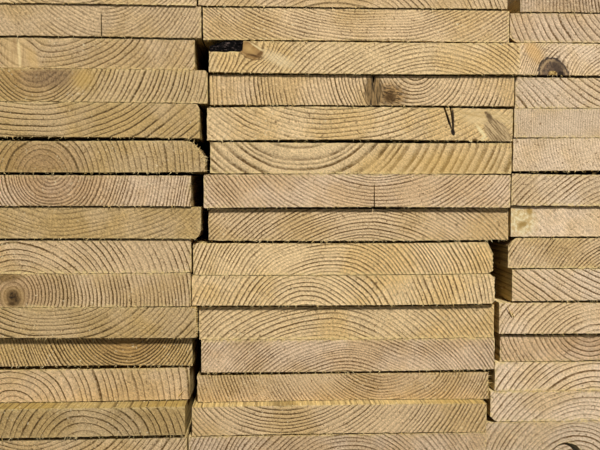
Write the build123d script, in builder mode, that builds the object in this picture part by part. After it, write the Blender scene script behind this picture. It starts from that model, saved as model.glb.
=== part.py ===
from build123d import *
import os
from math import hypot

# A stack of rough sawn softwood boards, three wide and fifteen high, seen on its cut ends.
# The boards run along Y with the shown ends at -Y, and the stack stands on the floor at Z = 0.
# Sizes are in millimetres, and every list runs from the floor board up.

# One board: nominal 1 x 8 in stock, 8 ft long
board_width = 190.0
board_thickness = 20.0
board_length = 2440.0

# Air between boards where they bear on each other
seat_gap = 0.1

# What each board is thicker than nominal by, as it left the saw
left_thicker = [-0.5, -1.1, 1.5, -1.7, -0.4, 0.9, 1.0, -0.1, 0.0, 0.3, 1.4, 0.0, -1.2, -0.8, 0.2]
middle_thicker = [-2.1, -1.4, -1.8, 1.2, 1.8, -0.3, 1.0, 0.8, 0.7, -0.2, 1.0, -1.0, -0.5, -0.3, -0.2]
right_thicker = [1.8, -0.2, -0.9, -2.3, 0.9, 0.9, -0.2, -0.5, 0.9, 1.0, -1.7, -0.4, 0.1, -1.8, 0.4]

# How far each board has cupped over its width: above zero its middle stands up, below zero it
# sags. The hollow side is the one that faced away from the pith. The floor boards lie flat.
left_cup = [0.0, -0.3, -0.6, 0.7, 0.5, -0.1, -0.4, 0.5, 0.3, -0.6, 0.8, 0.6, 0.6, 0.7, 0.5]
middle_cup = [0.0, 0.5, 0.3, -0.5, -0.6, -0.5, -0.5, -0.6, 0.5, -0.3, 0.9, 0.2, -0.5, 0.4, -0.2]
right_cup = [0.0, -0.4, -0.5, 0.1, -0.4, 0.4, -0.5, 0.0, -0.6, 0.8, 0.1, 0.3, -0.4, 0.4, 0.1]

# The middle column: what each board is wider than nominal by, and how far it was laid off centre
middle_wider = [-1.0, -3.0, -1.6, -1.1, -0.4, 3.4, 1.2, 0.2, 3.1, -0.6, 1.2, 0.0, 2.7, -0.8, 0.3]
middle_shift = [-9.5, -8.4, -5.1, -2.1, -3.0, -5.2, -5.4, 3.9, 2.7, 5.0, 4.2, 5.3, 6.5, 1.3, -0.8]

# The gap left between each side board and the middle boards that lie beside it
left_gap = [0.9, 3.9, 4.8, 4.4, 1.1, 0.6, 1.1, 1.9, 7.7, 1.0, 4.4, 1.0, 5.2, 1.1, 1.2]
right_gap = [0.8, 0.8, 0.3, 3.4, 2.5, 10.7, 0.3, 1.3, 0.5, 0.7, 1.2, 1.0, 0.2, 1.1, 7.2]

# How far each shown end stands out towards the viewer, and what each board is longer than nominal by
left_forward = [6.2, 8.0, -4.0, -3.2, 0.3, 0.3, 0.3, 1.6, 2.8, 4.0, 5.3, 5.5, 5.0, 6.0, 7.0]
middle_forward = [4.0, 3.7, -5.3, -4.3, -4.5, -1.9, -1.6, -0.8, 1.8, 1.8, 2.8, 3.4, 5.2, 5.2, 6.0]
right_forward = [-3.6, -3.6, -3.9, -3.9, -1.9, -1.2, -1.2, -0.4, 1.2, 2.2, 2.2, 2.2, 3.4, 3.4, 4.0]
left_longer = [2, 6, -1, 3, 9, 0, 4, 12, -2, 5, 3, 7, 1, 10, 4]
middle_longer = [5, 0, 8, 2, 4, 11, -1, 3, 6, 1, 9, 2, 5, 0, 7]
right_longer = [3, 7, 1, 10, 2, 5, 0, 8, 4, -2, 6, 3, 12, 2, 5]

# How far each middle board wanders sideways from its shown end to its far end, and how much
# wider the gap beside each side board is at the far end
middle_drift = [0.0, 1.5, -2.0, 1.0, 2.5, -1.0, 0.5, -2.5, 1.5, 2.0, -1.5, 0.5, -0.5, 2.0, -1.0]
left_fan = [0.5, 2.0, 1.0, 3.0, 0.5, 2.5, 1.5, 0.5, 3.5, 1.0, 2.0, 0.5, 1.5, 3.0, 1.0]
right_fan = [1.0, 0.5, 2.5, 1.0, 3.0, 1.5, 0.5, 2.0, 1.0, 3.0, 0.5, 2.0, 1.0, 0.5, 2.5]

# Wane, where the round of the log cuts a corner of the shown end:
# corner, how far across, how far down, and how far it runs back along the board
wane = {
    "board_left_10": [("top right", 11.3, 10.6, 420)],
    "board_left_08": [("bottom right", 2.7, 5.0, 300)],
    "board_left_11": [("top right", 1.5, 3.0, 260)],
    "board_left_12": [("top right", 1.3, 1.3, 200)],
    "board_left_05": [("bottom left", 150.0, 1.8, 900)],
    "board_middle_07": [("top right", 4.7, 8.5, 380), ("bottom right", 3.1, 1.9, 160)],
    "board_middle_06": [("top right", 4.0, 2.5, 240), ("bottom right", 2.0, 2.0, 150)],
    "board_right_07": [("top left", 5.8, 5.8, 460)],
    "board_right_14": [("bottom left", 4.4, 2.8, 280)],
    "board_right_02": [("bottom left", 4.0, 3.5, 340)],
}
wane_round = 0.12

# Pockets, where a strip of bark grown into the wood fills a corner: same sizes as the wane
bark_pockets = {
    "board_middle_13": [("top left", 21.0, 6.8, 260)],
}
pocket_round = 0.25

# End checks, the drying cracks in the shown ends: face they open on, place across the board
# from its centre, width at the face, height, how far they lean to the right, and depth
end_checks = {
    "board_left_14": [("bottom", 35.0, 0.9, 15.0, 0.0, 70)],
    "board_middle_09": [("bottom", 10.0, 0.8, 15.5, 0.0, 80)],
    "board_middle_12": [("top", 8.0, 1.0, 4.5, 0.0, 40)],
    "board_middle_11": [("top", 52.0, 1.3, 12.5, 4.0, 60), ("top", 56.0, 1.3, 14.7, 1.0, 60)],
}

# Loose knots, cut through by a broad face and dried free of the wood round them: face, place
# across the board from its centre, width and height of the hole, and depth
loose_knots = {
    "board_right_01": [("bottom", -40.3, 20.0, 7.5, 25)],
}
knot_gap = 1.6

# How far a cutter reaches past the wood
cutter_margin = 2.0

# The most that a side board can lap over one in the middle column
widest_lap = max(middle_shift) - min(middle_shift)


class Board:
    """One board as it lies: its section at the shown end, and how it runs to the far end."""

    def __init__(self, name, width, thickness, cup, front, length):
        self.name = name
        self.width = width
        self.thickness = thickness
        self.cup = cup
        self.front = front
        self.length = length
        self.centre = 0.0
        self.bottom = 0.0
        self.drift = 0.0

    def left(self, along=0):
        """The left edge: along is 0 at the shown end and 1 at the far end."""
        return self.centre + self.drift * along - self.width / 2

    def right(self, along=0):
        return self.left(along) + self.width

    def top(self):
        return self.bottom + self.thickness

    def hollow(self, x, along=0):
        """Height of the cupped faces at x over their own edges."""
        across = 2 * (x - self.left(along)) / self.width - 1
        return self.cup * (1 - across**2)


def seat(lower, upper, samples=9):
    """Lay the upper board on the lower one, where their cupped faces first meet."""
    rise = 0.0
    for along in (0, 1):
        start = max(lower.left(along), upper.left(along))
        end = min(lower.right(along), upper.right(along))
        for i in range(samples):
            x = start + (end - start) * i / (samples - 1)
            rise = max(rise, lower.hollow(x, along) - upper.hollow(x, along))
    upper.bottom = lower.top() + rise + seat_gap


def seat_column(boards):
    for lower, upper in zip(boards, boards[1:]):
        seat(lower, upper)


def beside(board, boards):
    """Those of the next column's boards whose edges share some of this board's height."""

    def edge_heights(b):
        lap = b.hollow(b.left() + widest_lap)
        return b.bottom + min(lap, 0), b.top() + max(lap, 0)

    low, high = edge_heights(board)
    return [b for b in boards if edge_heights(b)[1] > low and edge_heights(b)[0] < high]


def push_up(board, boards, side, gap, fan):
    """Lay a side board against the middle column, clear of it at both ends."""
    neighbours = beside(board, boards)
    if side == "left":
        near = min(b.left() for b in neighbours) - gap - board.width / 2
        far = min(b.left(1) for b in neighbours) - gap - fan - board.width / 2
    else:
        near = max(b.right() for b in neighbours) + gap + board.width / 2
        far = max(b.right(1) for b in neighbours) + gap + fan + board.width / 2
    board.centre = near
    board.drift = far - near


def cupped_edge(start, end, cup):
    """One broad face of the section: straight when flat, an arc when cupped."""
    if cup == 0:
        return Line(start, end)
    middle = ((start[0] + end[0]) / 2, start[1] + cup)
    return ThreePointArc(start, middle, end)


def wane_section(corner, across, down, side, up, plane):
    """The wood missing at a corner, bounded inwards by the round of the log."""
    x, z = corner
    on_face = (x - side * across, z)
    on_side = (x, z - up * down)
    middle = ((on_face[0] + on_side[0]) / 2, (on_face[1] + on_side[1]) / 2)
    bulge = (middle[0] + wane_round * (x - middle[0]), middle[1] + wane_round * (z - middle[1]))
    above = z + up * cutter_margin
    beyond = x + side * cutter_margin
    with BuildSketch(plane) as section:
        with BuildLine():
            ThreePointArc(on_face, bulge, on_side)
            Polyline(on_side, (beyond, on_side[1]), (beyond, above), (on_face[0], above), on_face)
        make_face()
    return section.sketch


def pocket_section(corner, across, down, side, up, plane):
    """The gap that ingrown bark fills at a corner, with a square floor and wall."""
    x, z = corner
    wall = x - side * across
    floor = z - up * down
    above = z + up * cutter_margin
    beyond = x + side * cutter_margin
    with BuildSketch(plane) as section:
        with BuildLine():
            FilletPolyline((wall, above), (wall, floor), (beyond, floor), radius=pocket_round * down)
            Polyline((beyond, floor), (beyond, above), (wall, above))
        make_face()
    return section.sketch


def corner_ends(board, shape, corner_name, across, down, run):
    """A corner cut's section at the shown end, and where it has run out past the corner."""
    up = 1 if corner_name.startswith("top") else -1
    side = 1 if corner_name.endswith("right") else -1
    corner = (board.right() if side > 0 else board.left(), board.top() if up > 0 else board.bottom)
    shrink = 0.2
    clear = shrink * max(across, down) + cutter_margin
    far_x = corner[0] + side * clear + board.drift * run / board.length
    far_corner = (far_x, corner[1] + up * clear)
    near = shape(corner, across, down, side, up, Plane.XZ.offset(-board.front + cutter_margin))
    far = shape(far_corner, shrink * across, shrink * down, side, up, Plane.XZ.offset(-board.front - run))
    return [near, far]


def check_section(x, face, up, width, height, lean, plane):
    """A thin V that opens on one broad face, with its tip lean to the right of its mouth."""
    mouth = face - up * cutter_margin
    mouth_x = x - lean * cutter_margin / height
    tip = (x + lean, face + up * height)
    with BuildSketch(plane) as section:
        with BuildLine():
            Polyline((mouth_x - width / 2, mouth), (mouth_x + width / 2, mouth), tip, close=True)
        make_face()
    return section.sketch


def check_ends(board, face_name, place, width, height, lean, run):
    """The V at the shown end, and where it has closed behind it."""
    up = 1 if face_name == "bottom" else -1
    face = board.bottom if up > 0 else board.top()
    x = board.centre + place
    gone = face - up * (height + cutter_margin)
    near = check_section(x, face, up, width, height, lean, Plane.XZ.offset(-board.front + cutter_margin))
    far_x = x + board.drift * run / board.length
    far = check_section(far_x, gone, up, width, height, lean, Plane.XZ.offset(-board.front - run))
    return [near, far]


def knot_ring(board, face_name, place, width, height):
    """The gap round a loose knot, wider on its right, where the knot has shrunk away."""
    face = board.bottom if face_name == "bottom" else board.top()
    x = board.centre + place
    with BuildSketch(Plane.XZ.offset(-board.front + cutter_margin)) as ring:
        with Locations((x, face)):
            Ellipse(width / 2, height)
        with Locations((x - knot_gap, face)):
            Ellipse(width / 2 - 2 * knot_gap, height - knot_gap, mode=Mode.SUBTRACT)
    return ring.sketch


def make_board(board):
    """The sawn board: a cupped section run along its length, less what it lost at its shown end."""
    left, right = board.left(), board.right()
    bottom, top = board.bottom, board.top()
    run = (board.drift, board.length, 0)
    with BuildPart() as wood:
        with BuildSketch(Plane.XZ.offset(-board.front)) as section:
            with BuildLine():
                cupped_edge((left, bottom), (right, bottom), board.cup)
                Line((right, bottom), (right, top))
                cupped_edge((right, top), (left, top), board.cup)
                Line((left, top), (left, bottom))
            make_face()
        extrude(amount=hypot(*run), dir=run)
        for cut in wane.get(board.name, []):
            loft(sections=corner_ends(board, wane_section, *cut), ruled=True, mode=Mode.SUBTRACT)
        for cut in bark_pockets.get(board.name, []):
            loft(sections=corner_ends(board, pocket_section, *cut), ruled=True, mode=Mode.SUBTRACT)
        for cut in end_checks.get(board.name, []):
            loft(sections=check_ends(board, *cut), ruled=True, mode=Mode.SUBTRACT)
        for *hole, depth in loose_knots.get(board.name, []):
            extrude(knot_ring(board, *hole), amount=-depth - cutter_margin, mode=Mode.SUBTRACT)
    wood.part.label = board.name
    return wood.part


def column(side, thicker, wider, cup, forward, longer):
    """The boards of one column, named from the floor up."""
    boards = []
    for i in range(len(thicker)):
        board = Board(
            f"board_{side}_{i + 1:02d}",
            board_width + wider[i],
            board_thickness + thicker[i],
            cup[i],
            -forward[i],
            board_length + longer[i],
        )
        boards.append(board)
    return boards


# The middle column is laid first, and the side columns are pushed up to it
no_wider = [0.0] * len(middle_wider)
middle = column("middle", middle_thicker, middle_wider, middle_cup, middle_forward, middle_longer)
left = column("left", left_thicker, no_wider, left_cup, left_forward, left_longer)
right = column("right", right_thicker, no_wider, right_cup, right_forward, right_longer)
for board, shift, drift in zip(middle, middle_shift, middle_drift):
    board.centre = shift
    board.drift = drift
for boards in (middle, left, right):
    seat_column(boards)
for board, gap, fan in zip(left, left_gap, left_fan):
    push_up(board, middle, "left", gap, fan)
for board, gap, fan in zip(right, right_gap, right_fan):
    push_up(board, middle, "right", gap, fan)

# The side boards have moved over one another, so they are seated once more
for boards in (left, right):
    seat_column(boards)

# The origin is the middle of the stack's footprint
stack = left + middle + right
low_x = min(b.left() + min(b.drift, 0) for b in stack)
high_x = max(b.right() + max(b.drift, 0) for b in stack)
low_y = min(b.front for b in stack)
high_y = max(b.front + b.length for b in stack)
for board in stack:
    board.centre -= (low_x + high_x) / 2
    board.front -= (low_y + high_y) / 2

os.makedirs("parts", exist_ok=True)
for board in stack:
    part = make_board(board)
    export_step(part, f"parts/{board.name}.step")

print(f"stack {high_x - low_x:.1f} wide, {high_y - low_y:.1f} long, {max(b.top() for b in stack):.1f} high")
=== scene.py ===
import math
import random

import bmesh
import bpy
from mathutils import Euler, Matrix, Vector, noise


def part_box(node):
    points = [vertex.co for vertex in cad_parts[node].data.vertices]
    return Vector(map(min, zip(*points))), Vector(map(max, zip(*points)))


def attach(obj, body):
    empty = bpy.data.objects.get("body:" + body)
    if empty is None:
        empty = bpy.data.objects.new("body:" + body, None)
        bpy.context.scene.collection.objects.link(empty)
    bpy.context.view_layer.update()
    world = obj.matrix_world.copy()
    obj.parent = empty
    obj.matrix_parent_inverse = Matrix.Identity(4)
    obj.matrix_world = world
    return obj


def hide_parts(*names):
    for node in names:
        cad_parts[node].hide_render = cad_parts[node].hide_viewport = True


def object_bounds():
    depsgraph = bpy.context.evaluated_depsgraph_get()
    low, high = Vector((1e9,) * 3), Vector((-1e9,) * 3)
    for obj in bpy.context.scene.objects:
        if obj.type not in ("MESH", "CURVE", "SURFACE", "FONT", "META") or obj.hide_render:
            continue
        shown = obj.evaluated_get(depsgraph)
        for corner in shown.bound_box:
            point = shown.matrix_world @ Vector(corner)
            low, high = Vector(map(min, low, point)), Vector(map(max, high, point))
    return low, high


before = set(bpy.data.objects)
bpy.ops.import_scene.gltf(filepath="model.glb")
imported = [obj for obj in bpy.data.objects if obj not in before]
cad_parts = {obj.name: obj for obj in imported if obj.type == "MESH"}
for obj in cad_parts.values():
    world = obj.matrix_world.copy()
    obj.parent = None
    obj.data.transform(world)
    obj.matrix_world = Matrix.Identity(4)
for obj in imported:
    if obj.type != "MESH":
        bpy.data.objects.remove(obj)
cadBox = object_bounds()
mm = 0.001

# Colours are written as seen, 0 to 255. Each tone of wood has its pale early wood, its dark late
# wood and the colour that it leans to in patches
woodTones = {
    "pale": {"early": (224, 196, 160), "late": (106, 77, 42), "patch": (217, 185, 140)},
    "pink": {"early": (218, 188, 151), "late": (102, 74, 41), "patch": (209, 175, 131)},
    "tan": {"early": (208, 177, 133), "late": (91, 66, 31), "patch": (197, 164, 113)},
    "yellow": {"early": (217, 186, 137), "late": (98, 71, 34), "patch": (211, 176, 118)},
    "olive": {"early": (195, 165, 118), "late": (81, 59, 26), "patch": (184, 152, 97)},
}

# Every board, from the floor up. pith: where the heart of the log lies from the board's own
# middle, right and up, mm. ring: a year's growth, mm. cup: how far the middle stands up, mm.
# late: how strong the dark lines are. under: how far the seam below it is open, mm
leftBoards = [
    dict(pith=(0, 60), ring=3.0, cup=0.0, tone="tan", late=0.8, under=0.3),
    dict(pith=(33, -21), ring=4.0, cup=-0.3, tone="olive", late=1.0, under=2.4, shade=0.95),
    dict(pith=(-16, -21), ring=4.0, cup=-0.6, tone="tan", late=0.8, under=0.8),
    dict(pith=(54, 22), ring=1.9, cup=0.7, tone="olive", late=1.0, under=1.7, heart=0.8, shade=1.08),
    dict(pith=(3, 75), ring=2.9, cup=0.5, tone="olive", late=1.0, under=0.65, torn=0.9),
    dict(pith=(-15, -6), ring=2.2, cup=-0.1, tone="tan", late=1.0, under=0.15, heart=0.5),
    dict(pith=(-12, -40), ring=3.4, cup=-0.4, tone="tan", late=1.0, under=0.05),
    dict(pith=(13, 103), ring=2.5, cup=0.5, tone="olive", late=0.4, under=0.2, rays=1.0),
    dict(pith=(11, 12), ring=2.0, cup=0.3, tone="pink", late=0.85, under=0.6, heart=0.5, shade=0.98),
    dict(pith=(-5, -14), ring=3.3, cup=-0.6, tone="olive", late=0.7, under=2.0, heart=0.6,
         torn=0.8, shade=0.98),
    dict(pith=(-7, 101), ring=3.6, cup=0.8, tone="olive", late=0.9, under=1.3),
    dict(pith=(-8, 26), ring=2.6, cup=0.6, tone="olive", late=0.85, under=0.08, heart=0.7, shade=1.02),
    dict(pith=(10, 50), ring=3.0, cup=0.6, tone="tan", late=0.7, under=0.05, shade=0.96),
    dict(pith=(35, 35), ring=2.2, cup=0.7, tone="tan", late=0.55, under=0.8, shade=0.95),
    dict(pith=(20, 60), ring=2.2, cup=0.5, tone="tan", late=0.7, under=0.05),
]
middleBoards = [
    dict(pith=(5, -44), ring=2.5, cup=0.0, tone="pink", late=0.8, under=0.3, shade=0.95),
    dict(pith=(-33, 61), ring=2.5, cup=0.5, tone="tan", late=0.8, under=0.4, shade=1.03),
    dict(pith=(26, 36), ring=1.9, cup=0.3, tone="tan", late=0.7, under=0.3, heart=0.7, torn=1.2),
    dict(pith=(-2, -72), ring=1.9, cup=-0.5, tone="pink", late=0.7, under=2.0),
    dict(pith=(-17, -79), ring=2.7, cup=-0.6, tone="yellow", late=0.7, under=0.1, shade=1.02),
    dict(pith=(-22, -34), ring=2.7, cup=-0.5, tone="yellow", late=0.8, under=1.4, torn=1.8, shade=1.05),
    dict(pith=(-9, -42), ring=2.2, cup=-0.5, tone="yellow", late=0.8, under=0.3, torn=1.6, shade=1.055),
    dict(pith=(4, -88), ring=2.1, cup=-0.6, tone="tan", late=0.8, under=1.9, shade=1.04),
    dict(pith=(12, 78), ring=2.2, cup=0.5, tone="pink", late=0.7, under=0.2),
    dict(pith=(-38, 52), ring=4.6, cup=-0.3, tone="yellow", late=0.75, under=0.05, wide=2.6, shade=0.98),
    dict(pith=(-15, 115), ring=2.8, cup=0.9, tone="yellow", late=0.7, under=1.05),
    dict(pith=(35, 18), ring=2.4, cup=0.2, tone="tan", late=0.9, under=1.25, shade=1.04),
    dict(pith=(36, -80), ring=2.3, cup=-0.5, tone="yellow", late=0.7, under=0.8),
    dict(pith=(6, 143), ring=1.8, cup=0.4, tone="tan", late=0.6, under=0.05, shade=1.05),
    dict(pith=(-14, -60), ring=2.8, cup=-0.2, tone="tan", late=0.7, under=0.55),
]
rightBoards = [
    dict(pith=(-36, -27), ring=2.8, cup=0.0, tone="pale", late=0.8, under=0.3, shade=0.94),
    dict(pith=(-34, -46), ring=3.1, cup=-0.4, tone="pale", late=0.7, under=0.05),
    dict(pith=(-29, -46), ring=3.4, cup=-0.5, tone="pale", late=0.9, under=0.05, shade=1.03),
    dict(pith=(-34, 17), ring=3.0, cup=0.1, tone="pink", late=1.0, under=0.25, heart=0.5),
    dict(pith=(-26, -39), ring=2.8, cup=-0.4, tone="pale", late=0.8, under=1.4, shade=1.02),
    dict(pith=(-15, 85), ring=3.1, cup=0.4, tone="pale", late=0.9, under=1.2),
    dict(pith=(-6, -48), ring=2.0, cup=-0.5, tone="tan", late=0.7, under=0.1, shade=1.03),
    dict(pith=(0, 60), ring=2.5, cup=0.0, tone="pale", late=0.15, under=0.7),
    dict(pith=(-8, -69), ring=2.6, cup=-0.6, tone="pale", late=0.9, under=0.1, shade=0.96),
    dict(pith=(35, 28), ring=1.8, cup=0.8, tone="pale", late=0.3, under=1.9, shade=0.985),
    dict(pith=(22, 0), ring=1.5, cup=0.1, tone="pale", late=0.25, under=0.05, shade=0.92),
    dict(pith=(-10, 71), ring=3.3, cup=0.3, tone="pale", late=0.8, under=0.1, shade=0.94),
    dict(pith=(-18, -44), ring=2.0, cup=-0.4, tone="pale", late=0.6, under=1.3),
    dict(pith=(12, 43), ring=3.4, cup=0.4, tone="pink", late=0.8, under=0.05, shade=0.94),
    dict(pith=(-19, 0), ring=2.0, cup=0.1, tone="pink", late=0.9, under=0.6, shade=0.89),
]

# Where a board's row says nothing. shade: how light it is. wide: how thick its late wood is, mm.
# heart: how brown the wood round its pith is. rays: how much they show. torn: how deep the teeth of
# its torn right side are, mm
plainBoard = {"shade": 1.0, "wide": 1.10, "heart": 0.0, "rays": 0.5, "torn": 0.0}

# What the shown ends lost, mm. wane: corner, across, down, run back, how torn
wane = {
    "board_left_10": [("top right", 11.3, 10.6, 420, 1.6)],
    "board_left_08": [("bottom right", 2.7, 5.0, 300, 0.3)],
    "board_left_11": [("top right", 1.5, 3.0, 260, 0.3)],
    "board_left_12": [("top right", 1.3, 1.3, 200, 0.2)],
    "board_left_05": [("bottom left", 150.0, 1.8, 900, 0.1)],
    "board_middle_07": [("top right", 4.7, 8.5, 380, 0.9), ("bottom right", 3.1, 1.9, 160, 0.3)],
    "board_middle_06": [("top right", 4.0, 2.5, 240, 0.6), ("bottom right", 2.0, 2.0, 150, 0.3)],
    "board_right_07": [("top left", 5.8, 5.8, 460, 0.5)],
    "board_right_14": [("bottom left", 4.4, 2.8, 280, 0.3)],
    "board_right_02": [("bottom left", 4.0, 3.5, 340, 0.4)],
}

# Pockets that ingrown bark fills: the same sizes, with a square floor and wall
barkPockets = {"board_middle_13": [("top left", 21.0, 6.8, 260, 0.6)]}

# Drying cracks: face, place from the board's middle, width, height, lean to the right, run back
endChecks = {
    "board_left_14": [("bottom", 35.0, 0.9, 15.0, 0.0, 70)],
    "board_middle_09": [("bottom", 10.0, 0.8, 15.5, 0.0, 80)],
    "board_middle_12": [("top", 6.4, 1.6, 5.0, 0.0, 40)],
    "board_middle_11": [("top", 52.0, 1.3, 12.5, 4.0, 60), ("top", 56.0, 1.3, 14.7, 1.0, 60)],
}

# A knot dried loose at the lower face: place, width and height of its hole, depth, and the gap
looseKnots = {"board_right_01": {"place": -40.3, "width": 20.0, "height": 7.5, "depth": 25.0, "gap": 1.6}}

# Long splinters that the saw left: right and up from the board's middle, mm, how far they lean to
# the right for each 1 up, length and thickness, mm
splinters = {
    "board_right_05": [(-86.5, 1.0, -0.62, 9.5, 0.7), (-85.2, 0.5, -0.5, 6.0, 0.4)],
    "board_left_03": [(88.0, -8.5, 0.9, 7.0, 0.5)],
    "board_left_10": [(85.0, 9.2, 0.5, 2.6, 0.4), (87.6, 7.6, 0.4, 3.0, 0.5), (89.2, 5.4, 0.7, 2.4, 0.45),
                      (90.6, 3.6, 0.8, 2.6, 0.5), (91.6, 1.2, 1.0, 2.6, 0.45), (92.4, -1.2, 1.4, 2.2, 0.5),
                      (88.6, 6.2, -0.4, 2.4, 0.4), (91.0, 2.4, 0.1, 2.2, 0.4)],
    "board_left_13": [(93.6, 6.0, 0.9, 2.4, 0.4), (93.8, -9.0, 0.8, 3.0, 0.45)],
}

# Knots, stains and torn patches on the shown ends. at: right and up from the board's middle, mm.
# size: half width and half height, mm. turn: in degrees. depth: how far back it runs, mm. body: its
# two colours, in clouds, in rings of that many, or in streaks that are so fine across and up.
# fill: how much they cover. soft: how blurred the rim is. rim and inner: colours of two rings there.
# bend: how far the years are carried round it
plainSpot = {"fill": 1.0, "soft": 0.12, "depth": 3.0}  # where its row says nothing
spots = {
    "board_right_13": [
        dict(at=(-86.0, 5.0), size=(4.0, 9.0), turn=35, body=((222, 176, 108), (214, 164, 92)), fill=0.55,
             soft=0.6),
        dict(at=(-72.6, -11.4), size=(9.4, 12.8), turn=24, body=((66, 52, 42), (124, 98, 72)), fill=0.95,
             rim=(26, 20, 20), inner=(188, 156, 112), bend=0.5, streaks=(0.6, 0.5), depth=60),
        dict(at=(-70.5, -5.0), size=(4.2, 4.4), turn=30, body=((40, 30, 26), (84, 66, 50)), fill=0.8,
             soft=0.6),
        dict(at=(-73.4, -9.0), size=(2.9, 1.7), body=((214, 180, 112), (112, 80, 30)), streaks=(1.0, 0.6)),
        dict(at=(-68.4, -9.2), size=(1.9, 1.7), body=((30, 20, 8), (46, 32, 14))),
    ],
    "board_left_13": [
        dict(at=(-12.0, 0.0), size=(9.0, 11.0), body=((176, 142, 94), (214, 180, 124)), fill=0.7, soft=0.5,
             streaks=(0.6, 0.06), bend=0.55, depth=60),
        dict(at=(-10.5, -0.5), size=(0.8, 9.4), turn=3, body=((238, 212, 158), (220, 188, 128)), soft=0.5),
        dict(at=(-2.5, -3.5), size=(3.0, 7.0), turn=16, body=((196, 158, 96), (216, 180, 120)), soft=0.6,
             fill=0.7),
    ],
    "board_left_06": [
        dict(at=(-19.0, 8.4), size=(10.0, 3.2), turn=8, body=((88, 66, 28), (146, 114, 64)), fill=0.8,
             soft=0.5, streaks=(0.5, 1.0)),
        dict(at=(-14.6, -4.2), size=(7.4, 6.6), body=((172, 138, 84), (124, 94, 52)), fill=0.75, rings=2.4,
             soft=0.5, depth=60),
        dict(at=(-14.0, -4.4), size=(3.0, 4.6), turn=25, body=((30, 20, 8), (92, 68, 36)), soft=0.7,
             streaks=(0.5, 0.5)),
        dict(at=(-15.4, -8.4), size=(2.4, 1.1), body=((56, 40, 18), (96, 70, 36)), soft=0.6),
    ],
    "board_left_12": [
        dict(at=(0.5, 5.2), size=(15.0, 5.2), turn=4, body=((92, 70, 50), (156, 126, 88)), fill=0.75,
             soft=0.7, streaks=(0.8, 0.5)),
        dict(at=(20.0, 4.6), size=(7.0, 5.6), turn=30, body=((198, 158, 82), (206, 170, 100)), fill=0.6,
             soft=0.7),
    ],
    "board_middle_10": [
        dict(at=(50.0, -4.0), size=(44.0, 9.0), body=((206, 162, 84), (222, 184, 112)), fill=0.42,
             soft=0.7),
    ],
    "board_middle_12": [
        dict(at=(17.5, -2.4), size=(9.5, 6.8), turn=-12, body=((44, 27, 6), (176, 138, 86)), fill=1.0,
             soft=0.6, streaks=(0.25, 0.8)),
        dict(at=(16.5, -4.0), size=(3.4, 3.2), turn=30, body=((40, 25, 6), (100, 70, 32)), fill=0.95,
             soft=0.7),
        dict(at=(6.4, -0.6), size=(5.4, 11.0), body=((38, 28, 14), (156, 124, 78)), fill=1.0, soft=0.25,
             streaks=(1.1, 0.10), bend=0.5, depth=50),
    ],
    "board_middle_11": [
        dict(at=(78.5, 4.2), size=(18.0, 6.2), turn=-8, body=((202, 170, 114), (224, 194, 140)), fill=0.85,
             soft=0.5, streaks=(0.08, 0.5)),
        dict(at=(54.7, 3.4), size=(0.7, 7.4), turn=19, body=((24, 16, 8), (60, 40, 18)), soft=0.3),
        dict(at=(57.6, 2.4), size=(0.8, 8.2), turn=2, body=((24, 16, 8), (60, 40, 18)), soft=0.3),
        dict(at=(57.7, -4.6), size=(1.2, 2.2), turn=14, body=((20, 14, 8), (40, 28, 14))),
        dict(at=(86.0, -5.0), size=(10.5, 6.6), turn=-50, body=((118, 94, 60), (204, 174, 126)), fill=1.0,
             soft=0.12, streaks=(0.07, 0.9)),
        dict(at=(75.9, -4.4), size=(1.1, 5.0), turn=38, body=((250, 230, 176), (226, 198, 136)), soft=0.5),
        dict(at=(76.4, -9.0), size=(1.0, 2.6), turn=-42, body=((250, 230, 176), (226, 198, 136)), soft=0.5),
        dict(at=(80.6, 5.2), size=(1.6, 3.0), turn=35, body=((84, 66, 42), (132, 106, 70)), soft=0.5),
        dict(at=(78.4, 7.6), size=(0.9, 0.9), body=((110, 86, 54), (140, 112, 74)), soft=0.5),
        dict(at=(71.8, -10.2), size=(1.8, 1.7), body=((74, 52, 16), (120, 90, 40)), soft=0.4),
    ],
    "board_middle_13": [
        dict(at=(-54.0, -1.6), size=(10.0, 3.2), turn=-22, body=((236, 214, 168), (222, 192, 142)),
             fill=0.7, soft=0.7),
        dict(at=(-71.5, 4.0), size=(8.0, 4.9), turn=-34, body=((196, 156, 94), (146, 108, 58)), fill=0.9,
             rim=(104, 76, 40), rings=1.3, bend=0.6, depth=60, soft=0.25),
        dict(at=(-66.5, 5.4), size=(5.6, 0.55), turn=-33, body=((234, 210, 156), (220, 188, 128)),
             soft=0.5),
        dict(at=(-68.6, 0.4), size=(5.0, 0.7), turn=-14, body=((70, 48, 22), (112, 80, 42)), soft=0.6),
        dict(at=(-65.0, 1.6), size=(2.4, 1.2), turn=40, body=((92, 64, 32), (136, 100, 56)), soft=0.6),
    ],
    "board_right_08": [
        dict(at=(-88.0, 0.5), size=(9.5, 9.5), body=((240, 222, 172), (206, 172, 110)), fill=0.85, soft=0.5,
             streaks=(0.35, 0.35)),
        dict(at=(-87.2, -1.8), size=(3.2, 1.8), turn=25, body=((150, 118, 60), (190, 158, 98)), soft=0.5),
        dict(at=(-83.0, 6.4), size=(2.0, 2.6), body=((164, 130, 68), (196, 162, 100)), soft=0.5),
    ],
}


# Shader values

class Wire:
    # one output of a node. Adding, taking away, multiplying and dividing make the nodes for it
    def __init__(self, tree, socket):
        self.tree = tree
        self.socket = socket

    def __add__(self, other):
        return calc("ADD", self, other)

    def __sub__(self, other):
        return calc("SUBTRACT", self, other)

    def __rsub__(self, other):
        return calc("SUBTRACT", other, self)

    def __mul__(self, other):
        return calc("MULTIPLY", self, other)

    def __truediv__(self, other):
        return calc("DIVIDE", self, other)

    def other(self, name):  # another output of the same node
        return Wire(self.tree, self.socket.node.outputs[name])


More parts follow.
